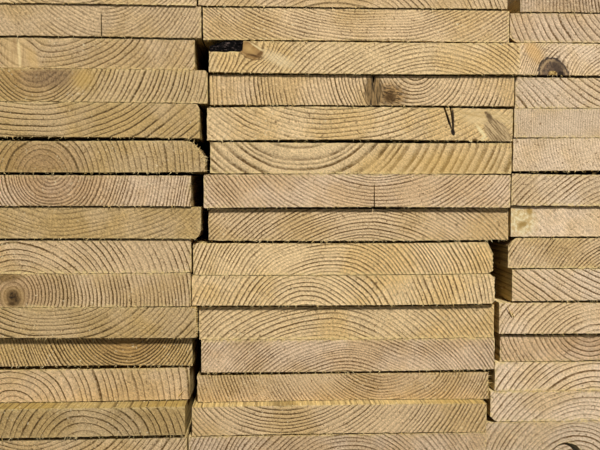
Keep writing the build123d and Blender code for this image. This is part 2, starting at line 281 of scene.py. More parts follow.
def addNode(tree, kind, inputs, out=0, **settings):
    made = tree.nodes.new(kind)
    for name, value in settings.items():
        setattr(made, name, value)
    for name, value in inputs.items():
        if isinstance(value, Wire):
            tree.links.new(value.socket, made.inputs[name])
        else:
            made.inputs[name].default_value = value
    return Wire(tree, made.outputs[out])


def firstWire(*values):
    return next(value for value in values if isinstance(value, Wire))


def calc(operation, a, b=0.0):
    wire = firstWire(a, b)
    kind = "ShaderNodeMath" if wire.socket.type == "VALUE" else "ShaderNodeVectorMath"
    return addNode(wire.tree, kind, {0: a, 1: b}, operation=operation)


def lengthOf(vector):
    return addNode(vector.tree, "ShaderNodeVectorMath", {0: vector}, "Value", operation="LENGTH")


def joined(x, y, z):
    return addNode(firstWire(x, y, z).tree, "ShaderNodeCombineXYZ", {0: x, 1: y, 2: z})


def parted(vector):
    first = addNode(vector.tree, "ShaderNodeSeparateXYZ", {0: vector})
    return [first, first.other(1), first.other(2)]


def attribute(tree, name):
    return addNode(tree, "ShaderNodeAttribute", {}, "Fac", attribute_name=name)


def shade(rgb):  # a colour as seen, as the shader wants it
    parts = [c / 255 for c in rgb]
    return (*[c / 12.92 if c <= 0.04045 else ((c + 0.055) / 1.055) ** 2.4 for c in parts], 1.0)


def blend(factor, a, b, how="MIX"):  # a and b are wires, or colours as seen
    a, b = [c if isinstance(c, Wire) else shade(c) for c in (a, b)]
    return addNode(firstWire(factor, a, b).tree, "ShaderNodeMix", {0: factor, 6: a, 7: b}, 2,
                   data_type="RGBA", blend_type=how)


def cloud(place, scale, detail=2.0, rough=0.5):  # soft noise, 0 to 1
    return addNode(place.tree, "ShaderNodeTexNoise",
                   {"Vector": place, "Scale": scale, "Detail": detail, "Roughness": rough})


def cloudAlong(value, scale):  # the same along one value
    return addNode(value.tree, "ShaderNodeTexNoise", {"W": value, "Scale": scale, "Detail": 1.0},
                   noise_dimensions="1D")


def swing(noise01):  # soft noise as a swing of about -1 to 1
    return (noise01 - 0.5) * 4.0


def remap(value, fromLow, fromHigh, toLow=0.0, toHigh=1.0, kind="LINEAR"):
    return addNode(value.tree, "ShaderNodeMapRange",
                   {0: value, 1: fromLow, 2: fromHigh, 3: toLow, 4: toHigh}, interpolation_type=kind)


def ease(value, fromLow, fromHigh, toLow=0.0, toHigh=1.0):
    return remap(value, fromLow, fromHigh, toLow, toHigh, "SMOOTHSTEP")


def band(value, rises, full, falls, gone):  # 1 from full to falls, and 0 outside
    return ease(value, rises, full) * ease(value, falls, gone, 1.0, 0.0)


# The grain of a softwood log: rings round the pith, in mm, with the pith along Y

grain = {
    "bend": 3.2,  # how far the rings wander, mm
    "wobble": 0.26,  # how they waver, mm
    "ragged": 0.16,  # how ragged the saw left a ring, mm
    "taper": 0.011,  # how much a log thins along its length
    "uneven": 1.6,  # how uneven the years are, in years
    "coreLines": (6.0, 34.0),  # round the pith the dark lines are faint, and fade in, mm
    "coreBrown": (8.0, 46.0),  # the wood there is brown, and that fades out, mm
    # how much speckle, faint bands, rays from the pith, the paler start of a year, saw marks and
    # clouds shade the wood
    "shading": {"speckle": 0.52, "bands": 0.06, "rays": 0.20, "spring": 0.11, "sawn": 0.08, "clouds": 0.075},
    "knotEvery": 420.0, "knotSize": 9.0, "knotGrows": 0.07,  # knots on the broad faces, mm
    "knotLift": 5.0,  # how far they carry the rings aside, mm
    "clearEnd": 80.0,  # none so near the shown end
    "tint": (232, 234, 205),  # the sawn faces against the cut ends: partly their own duller colour, partly painted shade for the walls of the gaps between boards
    "core": (206, 186, 160),  # the brown of the wood round the pith
    "speck": (112, 84, 48), "fleck": (240, 218, 172), "fuzz": (236, 207, 140),
    "knot": ((150, 104, 60), (112, 72, 40)), "knotRim": (84, 52, 28),
    "bark": ((58, 42, 28), (128, 98, 62)),
}

# The soft noise in it: how it is drawn out along X, Y and Z, its scale, detail and roughness
grainNoise = {
    "bendX": ((1, 0.05, 1), 0.014, 1.0),
    "bendZ": ((-1, 0.05, -1), 0.014, 1.0),
    "wobble": ((1, 0.02, 1), 0.10, 1.0),
    "ragged": ((1, 0.02, 1), 0.9, 2.0, 0.6),
    "branch": ((1, 0.6, 1), 0.2),
    "fading": ((1, 0.05, 1), 0.04),
    "patches": ((1, 0.08, 1), 0.022, 3.0, 0.6),
    "speckle": ((1, 0.03, 1), 1.0, 3.0, 0.75),
    "sawnFace": ((0.02, 0.35, 0.02), 1.0, 2.0, 0.6),
    "clouds": ((1, 0.1, 1), 0.05),
    "dots": ((1, 0.2, 1), 0.62, 1.0),
    "tufts": ((1, 0.2, 1), 0.5, 3.0, 0.7),
    "flakes": ((1, 0.3, 1), 0.35, 4.0, 0.7),
}


def branchField(x, y, z, radius, seeded, soft):
    # how near a branch is that grew out from the pith, 1 at its rim, for knots on the faces
    reach = calc("MAXIMUM", radius, 4.0)
    along = parted(seeded)[1] / grain["knotEvery"]
    cell = joined(x / reach, along, z / reach)
    found = addNode(cell.tree, "ShaderNodeTexVoronoi", {"Vector": cell, "Scale": 1.0, "Randomness": 1.0},
                    "Position")
    away = (cell - found) * joined(reach, grain["knotEvery"], reach)
    size = radius * grain["knotGrows"] + grain["knotSize"] / 2
    near = lengthOf(away * (1, 0.75, 1)) / size + swing(soft["branch"]) * 0.1
    return near + ease(y, grain["clearEnd"], grain["clearEnd"] * 2, 4.0, 0.0)


def lateLines(source, within, year, radius, soft, onEnd):
    # late wood darkens outwards and ends at once
    lateFrom = source["Late from"]
    line = ease(within, lateFrom, lateFrom + (1 - lateFrom) * 0.62) * ease(within, 0.93, 1.0, 1.0, 0.0)
    ofYear = addNode(year.tree, "ShaderNodeTexWhiteNoise", {"W": year}, "Value", noise_dimensions="1D")
    for fade in (
        (ofYear, 0, 1, 0.62, 1.1),  # some years are darker
        (soft["fading"], 0.32, 0.56, 0.35, 1.2),  # a line fades in places
        (soft["ragged"], 0.36, 0.60, 0.72, 1.2),  # and is broken where the saw tore it
        (onEnd, 0, 1, 0.65, 1.1),  # it is darker on a cut end
    ):
        line = line * remap(*fade)
    core = ease(radius, *grain["coreLines"], 1.0, 0.0) * source["Heart"]
    return calc("MINIMUM", line * (1 - core * 0.75) * source["Late"], 1.0)


def makeGrainGroup():
    tree = bpy.data.node_groups.new("softwoodGrain", "ShaderNodeTree")
    sockets = {"Place": "Vector", "Early colour": "Color", "Late colour": "Color", "Patch colour": "Color"}
    sockets.update({name: "Float" for name in ("Ring", "Late from", "Late", "Heart", "Rays", "Seed")})
    for name, kind in sockets.items():
        tree.interface.new_socket(name=name, in_out="INPUT", socket_type="NodeSocket" + kind)
    for name, kind in (("Colour", "Color"), ("Height", "Float")):
        tree.interface.new_socket(name=name, in_out="OUTPUT", socket_type="NodeSocket" + kind)
    source = {s.name: Wire(tree, s) for s in tree.nodes.new("NodeGroupInput").outputs}
    result = tree.nodes.new("NodeGroupOutput").inputs
    place, seed = source["Place"], source["Seed"]
    onEnd = attribute(tree, "cutEnd")
    onFace = 1 - onEnd
    seeded = place + joined(seed * 311.0, seed * 5300.0, seed * 173.0)  # other wood for each board
    soft = {name: cloud(seeded * drawn, *scale) for name, (drawn, *scale) in grainNoise.items()}

    # rings: bent, wavering and ragged, and lifted round a branch
    bendX, bendZ = [swing(soft[name]) * grain["bend"] for name in ("bendX", "bendZ")]
    x, y, z = parted(place + joined(bendX, 0.0, bendZ))
    radius = calc("SQRT", x * x + z * z)
    branch = branchField(x, y, z, radius, seeded, soft)
    grown = radius + y * grain["taper"] + ease(branch, 0.4, 2.6, grain["knotLift"], 0.0)
    grown = grown + swing(soft["wobble"]) * grain["wobble"]
    edged = grown + swing(soft["ragged"]) * grain["ragged"]
    years = edged / source["Ring"] + cloudAlong(grown + seed * 77.0, 0.07) * grain["uneven"]
    within = calc("FRACT", years)
    year = calc("FLOOR", years) + seed
    line = lateLines(source, within, year, radius, soft, onEnd)

    # early wood in patches of another tone, brown round the pith
    colour = blend(ease(soft["patches"], 0.42, 0.62), source["Early colour"], source["Patch colour"])
    nearPith = ease(radius, *grain["coreBrown"], 1.0, 0.0) * source["Heart"]
    colour = blend(nearPith, colour, blend(1.0, colour, grain["core"], "MULTIPLY"))
    colour = blend(line, colour, source["Late colour"])

    # shading of the sawn surface
    fan = cloud(joined(calc("ARCTAN2", x, z) * 60.0 + seed, radius * 0.05, y * 0.02), 1.0)
    fan = ease(fan, 0.60, 0.70) - ease(fan, 0.30, 0.38, 0.5, 0.0)
    right, _, up = parted(seeded)
    acrossEnd = swing(cloud(joined(right * 0.75 + up, 0.0, right * 0.05), 0.9, 1.0))
    shades = {
        "speckle": swing(soft["speckle"]),
        "bands": swing(cloudAlong(edged, 1.1)),
        "rays": fan * source["Rays"] * onEnd,
        "spring": ease(within, 0.04, 0.5, 1.0, 0.0) * onEnd,
        "sawn": acrossEnd * onEnd + swing(soft["sawnFace"]) * onFace,
        "clouds": swing(soft["clouds"]),
    }
    tint = 1.0
    for name, value in shades.items():
        tint = value * grain["shading"][name] + tint
    colour = colour * tint
    # the sawn faces darker and greener than the cut ends: partly their own colour, partly painted shade for
    # the gap walls between boards
    colour = blend(onFace, colour, blend(1.0, colour, grain["tint"], "MULTIPLY"))

    # small dark specks, pale torn flecks and the yellow fuzz of the arris
    colour = blend(ease(soft["dots"], 0.66, 0.74, 0.0, 0.8), colour, grain["speck"])
    colour = blend(ease(soft["dots"], 0.32, 0.22, 0.0, 0.6), colour, grain["fleck"])
    frayed = calc("MINIMUM", attribute(tree, "fray") * 1.1, 1.0) * ease(soft["tufts"], 0.4, 0.62)
    colour = blend(frayed, colour, grain["fuzz"])

    # knots on the faces, and bark on the wane
    knotColour = blend(calc("FRACT", branch * 3.5), *grain["knot"])
    colour = blend(ease(branch, 0.9, 1.08, 1.0, 0.0), colour, knotColour)
    colour = blend(band(branch, 0.8, 0.98, 1.02, 1.25) * 0.7, colour, grain["knotRim"])
    waney = attribute(tree, "waney")
    colour = blend(waney, colour, blend(ease(soft["flakes"], 0.4, 0.6), *grain["bark"]))

    height = shades["speckle"] * 0.4 - line * 0.5 + shades["sawn"] * 0.3 + soft["flakes"] * waney * 3.0
    tree.links.new(colour.socket, result["Colour"])
    tree.links.new(height.socket, result["Height"])
    return tree


grainGroup = makeGrainGroup()


def fromSpot(place, spot, pith):  # the way from a spot's middle
    return place - (spot["at"][0] - pith[0], 0.0, spot["at"][1] - pith[1])


def awayFrom(here, spot):  # 0 at a spot's middle, 1 at its rim
    wide, high = spot["size"]
    return lengthOf(here * (1 / wide, 1 / spot["depth"], 1 / high))


# How strong the rings at a spot's rim are, and where they rise and fall, as shares of its size
spotRings = {"inner": (0.65, 0.74, 0.82, 0.86, 0.94), "rim": (0.85, 0.90, 0.98, 1.0, 1.07)}


def addSpot(place, colour, spot, pith):
    # paints one knot, stain or torn patch over the wood
    here = fromSpot(place, spot, pith)
    if "turn" in spot:
        here = addNode(here.tree, "ShaderNodeVectorRotate",
                       {"Vector": here, "Angle": math.radians(spot["turn"])}, rotation_type="Y_AXIS")
    soft = spot["soft"]
    away = awayFrom(here, spot) + (cloud(here, 0.45, 3.0, 0.6) - 0.5) * (0.25 + soft)
    inside = ease(away, 1 - soft, 1 + soft, spot["fill"], 0.0)
    if "streaks" in spot:
        across, along = spot["streaks"]
        pattern = ease(cloud(here * (across, 0.05, along), 1.0, 3.0, 0.65), 0.38, 0.6)
    elif "rings" in spot:
        pattern = calc("PINGPONG", away * spot["rings"], 1.0)
    else:
        pattern = cloud(here, 0.8, 2.0, 0.6)
    colour = blend(inside, colour, blend(pattern, *spot["body"]))
    for name, (strength, *reach) in spotRings.items():
        if name in spot:
            colour = blend(band(away, *reach) * strength, colour, spot[name])
    return colour


def bendRound(place, spot, pith):
    # carries the rings round a knot
    here = fromSpot(place, spot, pith)
    return place - here * ease(awayFrom(here, spot), 0.4, 2.4, spot["bend"], 0.0)


# bump: strength and depth in metres
boardLook = {"rough": 0.8, "specular": 0.2, "bump": (0.5, 0.00035)}
barkLook = {"rough": 1.0, "specular": 0.1, "bump": (1.0, 0.002),
            "dark": (12, 9, 8), "flake": (132, 112, 102)}
fibreLook = {"rough": 0.8, "specular": 0.15, "pale": (236, 212, 156), "deep": (212, 178, 110)}


def newMaterial(name, look):  # a material, its shader and the place on the object
    made = bpy.data.materials.new(name)
    made.use_nodes = True
    shader = made.node_tree.nodes["Principled BSDF"]
    shader.inputs["Roughness"].default_value = look["rough"]
    shader.inputs["Specular IOR Level"].default_value = look["specular"]
    return made, shader, addNode(made.node_tree, "ShaderNodeTexCoord", {}, "Object")


def paint(shader, look, colour, height=None):
    tree = colour.tree
    tree.links.new(colour.socket, shader.inputs["Base Color"])
    if height:
        strength, depth = look["bump"]
        relief = addNode(tree, "ShaderNodeBump", {"Strength": strength, "Distance": depth, "Height": height})
        tree.links.new(relief.socket, shader.inputs["Normal"])


def woodMaterial(name, board):  # the wood of one board, in mm from its pith at its shown end
    made, shader, where = newMaterial(name, boardLook)
    tone, pith = woodTones[board["tone"]], board["pith"]
    middle = [c / mm for c in (middleOf(board), board["front"], (board["bottom"] + board["top"]) / 2)]
    fromPith = (-middle[0] - pith[0], -middle[1], -middle[2] - pith[1])
    place = addNode(where.tree, "ShaderNodeMapping",
                    {"Vector": where, "Location": fromPith, "Scale": (1 / mm, 1 / mm, 1 / mm)})
    bent = place
    for spot in board["spots"]:
        if "bend" in spot:
            bent = bendRound(bent, spot, pith)
    wood = addNode(where.tree, "ShaderNodeGroup", {
        "Place": bent,
        "Late from": max(0.35, 0.94 - board["wide"] / board["ring"]),
        "Early colour": shade([c * board["shade"] for c in tone["early"]]),
        "Patch colour": shade([c * board["shade"] for c in tone["patch"]]),
        "Late colour": shade(tone["late"]),
        **{name: board[name.lower()] for name in ("Ring", "Late", "Heart", "Rays", "Seed")},
    }, "Colour", node_tree=grainGroup)
    colour = wood
    for spot in board["spots"]:
        colour = addSpot(place, colour, spot, pith)
    paint(shader, boardLook, colour, wood.other("Height"))
    return made


def makeBarkMaterial():
    made, shader, where = newMaterial("blackBark", barkLook)
    flakes = cloud(where * (1, 0.4, 1.6), 620.0, 4.0, 0.75)
    paint(shader, barkLook, blend(ease(flakes, 0.54, 0.66), barkLook["dark"], barkLook["flake"]), flakes)
    return made


def makeFibreMaterial():
    made, shader, where = newMaterial("tornFibre", fibreLook)
    tone = ease(cloud(where, 90.0), 0.35, 0.65)
    paint(shader, fibreLook, blend(tone, fibreLook["pale"], fibreLook["deep"]))
    return made


barkMaterial = makeBarkMaterial()
fibreMaterial = makeFibreMaterial()
print("wood, bark and fibre set")


# Boards

boardMesh = {
    "across": 122, "high": 10, "highTorn": 24,  # faces on a cut end
    "rim": 0.6,  # the first column from each side, mm
    "front": [0.0, 0.4, 1.0, 2.0, 4.0, 9.0, 25.0, 60.0],  # rings behind the shown end, mm
    "back": [25.0, 4.0, 1.0, 0.0],  # rings before the far end, mm
    "spans": 8,  # stretches between them
    "ragged": 0.416, "raggedDepth": 3.0,  # uneven edges of a cut end, mm
    "relief": 0.09,  # unevenness of a cut end, mm
    "eased": 0.06, "easedDepth": 2.2,  # worn arrises, mm
    "seamOpen": 0.78, "seamVaries": 0.3,  # how open a seam is, as shares of its gap
    "seamDepth": 25.0,  # how far back it stands open, mm
    "overShare": 0.65,  # how much of it the lower board lost, and the upper board the rest
    "tooth": 2.5, "tornWide": 9.0,  # spacing of torn teeth and how far in they reach, mm
    "slope": 100,  # wane wider than that, mm, is a slight slope with no bark
    "bark": 0.85,  # how much of other wane bark covers
    "sharpOver": 40,  # edges that turn by more, in degrees, stay sharp
}
# How fast the unevenness of a cut end changes from mm to mm
uneven = {
    "edge": 0.42, "edgeBack": 0.5,  # along its edges, and back from them
    "face": 0.09, "faceUp": 0.2,  # across its face, and up
    "finer": 4.3, "fineShare": 0.6,  # a second noise there: how much finer it is, and its share
    "seam": 0.016,  # along a seam
}
fraying = {
    "wide": 0.9,  # how far in from its edges a cut end is frayed, mm
    "top": 0.6,  # how much along its top edge
    "open": 0.5, "least": 0.35,  # less over an open seam, and least where that is so wide, mm
}
crackShape = {
    "shoulder": 0.3,  # how far from its middle a drying crack falls off, as a share of its width
    "atShoulder": 0.85,  # how high it still is there
    "leanWide": 5.0,  # how far beside it the wood leans with it, mm
}
cornerShape = {
    "runOut": 2.5,  # how far wane runs out past nothing, mm, so that it ends at a slant
    "hollow": 0.35,  # how hollow it is
    "wall": 0.5,  # how far a pocket's wall leans, mm
    "tornRun": 60,  # how far back it is torn, mm
}


def waver(x, y, z):  # soft noise, -1 to 1
    return noise.noise(Vector((x, y, z)))


def everything(bm):
    return bm.verts[:] + bm.edges[:] + bm.faces[:]


def newMesh(name, bm):  # a mesh made of a bmesh, which is then done with
    mesh = bpy.data.meshes.new(name)
    bm.to_mesh(mesh)
    bm.free()
    return mesh


def newObject(name, data):
    made = bpy.data.objects.new(name, data)
    bpy.context.collection.objects.link(made)
    return made


def addPart(bm, part):  # adds one closed part to a bmesh
    mesh = newMesh("part", part)
    bm.from_mesh(mesh)
    bpy.data.meshes.remove(mesh)


def newLayers(bm):
    # the baked map, and what the wood of a face or point is: sawn end, bark, frayed
    return (bm.loops.layers.uv.new("OFBake"), bm.faces.layers.float.new("cutEnd"),
            bm.faces.layers.float.new("waney"), bm.verts.layers.float.new("fray"))


def endOf(points, y):  # a CAD board's edges at one of its ends
    here = [p for p in points if abs(p.y - y) < 0.2 * mm]
    return min(p.x for p in here), max(p.x for p in here)


def readBoard(node):
    # where a CAD board lies, in metres: its edges at both ends, and its heights
    low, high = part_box(node)
    points = [v.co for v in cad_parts[node].data.vertices]
    farLeft, farRight = endOf(points, high[1])
    left, width = endOf(points, low[1])[0], farRight - farLeft
    edge = [p.z for p in points if abs(p.y - high[1]) < 0.2 * mm and abs(p.x - farLeft) < 0.2 * mm]
    return {"left": left, "right": left + width, "width": width, "drift": farLeft - left,
            "front": low[1], "length": high[1] - low[1], "bottom": min(edge), "top": max(edge)}


def middleOf(board):
    return (board["left"] + board["right"]) / 2


def steepCuts(board):  # the corners that are quite gone, without long slight slopes
    return [cut for cut in board["wane"] if cut[1] < boardMesh["slope"]] + board["pockets"]


def cornerCut(cuts, place, inLeft, inRight, t, seed, square=False):
    # how much wane or a pocket takes off the top or bottom at one place, mm
    depth = 0.0
    for corner, across, down, run, torn in cuts:
        if not corner.startswith(place) or t > run:
            continue
        inward = inRight if corner.endswith("right") else inLeft
        gone = max(t, 0) / run
        reach = across * (1 - gone) - gone * cornerShape["runOut"]
        drop = down * (1 - gone) - gone * cornerShape["runOut"]
        if reach <= 0 or drop <= 0 or inward >= reach:
            continue
        if square:
            cut = drop * min(1.0, (reach - inward) / cornerShape["wall"])
        else:
            part = 1 - inward / reach
            cut = drop * (part - cornerShape["hollow"] * part * (1 - part))
        if t < cornerShape["tornRun"]:
            cut += torn * waver(inward * 0.5, t * 0.1, seed) * min(1, cut / 1.5)
        depth = max(depth, cut)
    return depth


def checkCut(checks, face, x, t):  # how high a drying crack opens at one place, mm
    height, shoulder, atShoulder = 0.0, crackShape["shoulder"], crackShape["atShoulder"]
    for where, place, width, tall, _, run in checks:
        part = abs(x - place) / width
        if where == face and t < run and part < 0.5:
            deep = min(1 - (1 - atShoulder) * part / shoulder,
                       atShoulder * (0.5 - part) / (0.5 - shoulder))
            height = max(height, tall * (deep - max(t, 0) / run))
    return height


def checkLean(checks, x, t, up, down):
    # how far leaning cracks push a place aside, that far up from the bottom and down from the top, mm
    aside = 0.0
    for face, place, _, tall, lean, run in checks:
        if lean and t < run:
            share = min(1.0, (up if face == "bottom" else down) / tall)
            near = max(0.0, 1 - abs(x - place) / crackShape["leanWide"])
            aside += lean * share * near * (1 - max(t, 0) / run)
    return aside


def knotHole(hole, x, t):  # how high the hole round a loose knot is, mm
    if not hole or t > hole["depth"] + 1:
        return 0.0
    part = (x - hole["place"]) / (hole["width"] / 2)
    return hole["height"] * math.sqrt(max(0.0, 1 - part * part))


def tooth(z, seed):  # the torn teeth of an edge, 0 to 1
    at = z / boardMesh["tooth"] + 0.6 * waver(z * 0.2, seed, 0)
    whole = math.floor(at)
    return (1 - at + whole) * (0.55 + 0.45 * waver(whole * 1.7, seed, 3))


def seamOpen(inLeft, end, seed):  # how open a seam is at one place, as a share of its gap
    share = boardMesh["seamOpen"] + boardMesh["seamVaries"] * waver(inLeft * uneven["seam"], seed, 5)
    return share * (1 - min(1.0, end / boardMesh["seamDepth"]) ** 3)


def shapeBoard(bm, board, fray):
    # carries the plain block to the real, cupped, waney, cracked and ragged board
    width, length = board["width"] / mm, board["length"] / mm
    thick = (board["top"] - board["bottom"]) / mm
    checks, seed = board["checks"], board["seed"]
    under = board["under"] * (1 - boardMesh["overShare"])
    over = board["over"] * boardMesh["overShare"]
    for v in bm.verts:
        # u and w: across and up from the middle, -0.5 to 0.5. t: back from the shown end, mm
        u, along, w = v.co
        w = 0.5 * math.sin(math.pi * w)  # finer rows near the arrises
        t = along * length
        end = min(t, length - t)
        fromMiddle, inLeft, inRight = u * width, (u + 0.5) * width, (0.5 - u) * width

        gap = seamOpen(inLeft, end, seed)
        low = max(under * gap, checkCut(checks, "bottom", fromMiddle, t),
                  knotHole(board["hole"], fromMiddle, t),
                  cornerCut(board["wane"], "bottom", inLeft, inRight, t, seed))
        high = thick - max(over * gap, checkCut(checks, "top", fromMiddle, t),
                           cornerCut(board["wane"], "top", inLeft, inRight, t, seed + 7),
                           cornerCut(board["pockets"], "top", inLeft, inRight, t, seed + 7, True))
        z = low + (high - low) * (w + 0.5)
        x = inLeft + checkLean(checks, fromMiddle, t, z, thick - z)
        z += board["cup"] * (1 - (2 * u) ** 2)

        near = max(0.0, 1 - end / boardMesh["raggedDepth"])
        if near > 0:
            eased = boardMesh["eased"] * max(0.0, 1 - end / boardMesh["easedDepth"]) ** 2
            p = (inLeft * uneven["edge"] + seed, end * uneven["edgeBack"], z * uneven["edge"] + seed)
            if abs(w) > 0.499:
                z += boardMesh["ragged"] * near * waver(*p) - math.copysign(eased, w)
            if abs(u) > 0.499:
                x += boardMesh["ragged"] * near * waver(p[0], p[1] + 9, p[2]) - math.copysign(eased, u)
            if u > 0:
                x -= board["torn"] * tooth(z, seed) * near * max(0.0, 1 - inRight / boardMesh["tornWide"])

        y = t
        if end < 0.001:
            p = Vector((inLeft * uneven["face"], seed, z * uneven["faceUp"]))
            rough = 1 + noise.noise(p) + uneven["fineShare"] * noise.noise(p * uneven["finer"])
            y += boardMesh["relief"] * rough * (1 if t < 1 else -1)
            edge = min(z - low, high - z + board["cup"], inLeft, inRight)
            closed = 1 - min(1.0, board["under"] / fraying["open"])
            most = closed if z - low < high - z else fraying["top"]
            strength = fraying["least"] + (1 - fraying["least"]) * most
            v[fray] = strength * math.exp(-max(0.0, edge) / fraying["wide"])
        left = board["left"] + board["drift"] * along
        v.co = (left + x * mm, board["front"] + y * mm, board["bottom"] + z * mm)


# Where each side of a board lies on its baked map: left, low, wide, high
mapAreas = {
    "front": (0.004, 0.902, 0.992, 0.094),
    "back": (0.004, 0.802, 0.992, 0.094),
    "top": (0.004, 0.462, 0.992, 0.334),
    "bottom": (0.004, 0.122, 0.992, 0.334),
    "left": (0.004, 0.080, 0.992, 0.036),
    "right": (0.004, 0.038, 0.992, 0.036),
    "bark": (0.004, 0.004, 0.190, 0.028),
    "fibres": (0.204, 0.004, 0.790, 0.028),
}
mapEnds = {"real": 0.030, "share": 0.14}  # the first and last 30 mm have this share of the map each


def mapPlace(area, across, up):
    left, low, wide, high = mapAreas[area]
    return (left + wide * across, low + high * up)


def mapAlong(along, length):
    real, share = mapEnds["real"] / length, mapEnds["share"]
    if along < real:
        return along / real * share
    if along > 1 - real:
        return 1 - (1 - along) / real * share
    return share + (along - real) / (1 - 2 * real) * (1 - 2 * share)


# The sides of the plain block: the axis that each one faces along, and where it lies on that
blockSides = {"front": (1, 0.0), "back": (1, 1.0), "top": (2, 0.5), "bottom": (2, -0.5),
              "left": (0, -0.5), "right": (0, 0.5)}


def sideOf(face):
    return next(side for side, (axis, edge) in blockSides.items()
                if all(abs(v.co[axis] - edge) < 5e-5 for v in face.verts))


def mapPoint(side, p, length):
    if side in ("front", "back"):
        return mapPlace(side, p.x + 0.5, p.z + 0.5)
    return mapPlace(side, mapAlong(p.y, length), (p.x if side in ("top", "bottom") else p.z) + 0.5)


def columnsFor(board):
    # places across the board, mm from its middle, where its mesh needs an edge of its own
    half = board["width"] / mm / 2
    places = [boardMesh["rim"] - half, half - boardMesh["rim"]]
    for _, across, _, _, _ in board["pockets"]:
        places += [across - half, across - cornerShape["wall"] - half]
    shoulder = crackShape["shoulder"]
    for _, place, wide, _, _, _ in board["checks"]:
        places += [place + wide * share for share in (-0.5, -shoulder, 0, shoulder, 0.5)]
    return places


def blockMesh(board):
    # a closed block, 1 by 1 by 1, with fine ends and rings along it
    bm = bmesh.new()
    length = board["length"] / mm
    stand = Matrix.Rotation(math.pi / 2, 4, "X")
    grid = {"x_segments": boardMesh["across"], "size": 0.5,
            "y_segments": boardMesh["highTorn" if board["torn"] else "high"]}
    bmesh.ops.create_grid(bm, matrix=stand, **grid)
    front, back, spans = boardMesh["front"], boardMesh["back"], boardMesh["spans"]
    first, last = front[-1], length - back[0]
    stations = [d / length for d in front[1:]]
    stations += [(first + (last - first) * (i + 1) / spans) / length for i in range(spans)]
    stations += [1 - d / length for d in back[1:]]
    rim = [e for e in bm.edges if e.is_boundary]
    was = 0.0
    for station in stations:
        grown = bmesh.ops.extrude_edge_only(bm, edges=rim)["geom"]
        verts = [g for g in grown if isinstance(g, bmesh.types.BMVert)]
        bmesh.ops.translate(bm, verts=verts, vec=(0, station - was, 0))
        rim = [g for g in grown if isinstance(g, bmesh.types.BMEdge) and g.is_boundary]
        was = station
    bmesh.ops.create_grid(bm, matrix=Matrix.Translation((0, 1, 0)) @ stand, **grid)
    bmesh.ops.remove_doubles(bm, verts=bm.verts, dist=1e-5)
    for place in columnsFor(board):
        bmesh.ops.bisect_plane(bm, geom=everything(bm), dist=1e-4, plane_no=(1, 0, 0),
                               plane_co=(place * mm / board["width"], 0, 0))
    bmesh.ops.recalc_face_normals(bm, faces=bm.faces)
    return bm


fibres = {
    "many": 72, "manyTorn": 24,  # on the edges of a shown end, and more on a torn side
    "onTop": 0.3,  # the share of the first that stands on the top edge
    "long": (0.8, 2.6), "longTorn": (1.4, 3.6),  # mm
    "thick": 0.19, "differs": (0.6, 1.3),  # mm, and as shares of that
    "bent": 0.4,  # as a share of the length
    "back": 0.35, "inset": 1.0,  # how far they start behind the face, and in from the sides, mm
    "clear": 1.0,  # how far they keep from wane, mm
}


def makeFibreShape():  # one torn fibre, 1 long, with edges of its own to bend at
    bm = bmesh.new()
    bmesh.ops.create_cone(bm, cap_ends=True, segments=3, radius1=1.0, radius2=0.15, depth=1.0)
    for height in (-0.2, 0.15):
        bmesh.ops.bisect_plane(bm, geom=everything(bm), plane_co=(0, 0, height), plane_no=(0, 0, 1))
    return newMesh("fibreShape", bm)


fibreShape = makeFibreShape()


def addFibre(bm, base, way, long, thick, curl, mapAt, bakeMap, cutEnd):
    # a tapering, bent splinter from base along way, in metres
    vertsBefore, facesBefore = len(bm.verts), len(bm.faces)
    bm.from_mesh(fibreShape)
    bm.verts.ensure_lookup_table()
    bm.faces.ensure_lookup_table()
    turn = way.normalized().to_track_quat("Z", "Y").to_matrix()
    for v in bm.verts[vertsBefore:]:
        part = v.co.z + 0.5
        bow = curl * part * part * long
        v.co = base + turn @ Vector((v.co.x * thick, v.co.y * thick + bow, part * long))
    for face in bm.faces[facesBefore:]:
        face.material_index = 1
        face.smooth = True
        face[cutEnd] = 1.0
        for n, loop in enumerate(face.loops):
            loop[bakeMap].uv = mapPlace("fibres", mapAt + (n % 2) * 0.0025, 0.2 + 0.6 * (n // 2))


def inwardFrom(board, corner, x):  # how far in from the side of a corner, mm
    return (board["right"] - x if corner.endswith("right") else x - board["left"]) / mm


def bareAt(board, base):  # no fibre stands where the corner is gone, or over the hole of a knot
    above = base.z > (board["top"] + board["bottom"]) / 2
    for corner, across, _, _, _ in steepCuts(board):
        near = inwardFrom(board, corner, base.x) < across + fibres["clear"]
        if near and above == corner.startswith("top"):
            return True
    hole = board["hole"]
    return bool(hole) and abs((base.x - middleOf(board)) / mm - hole["place"]) < hole["width"] / 2


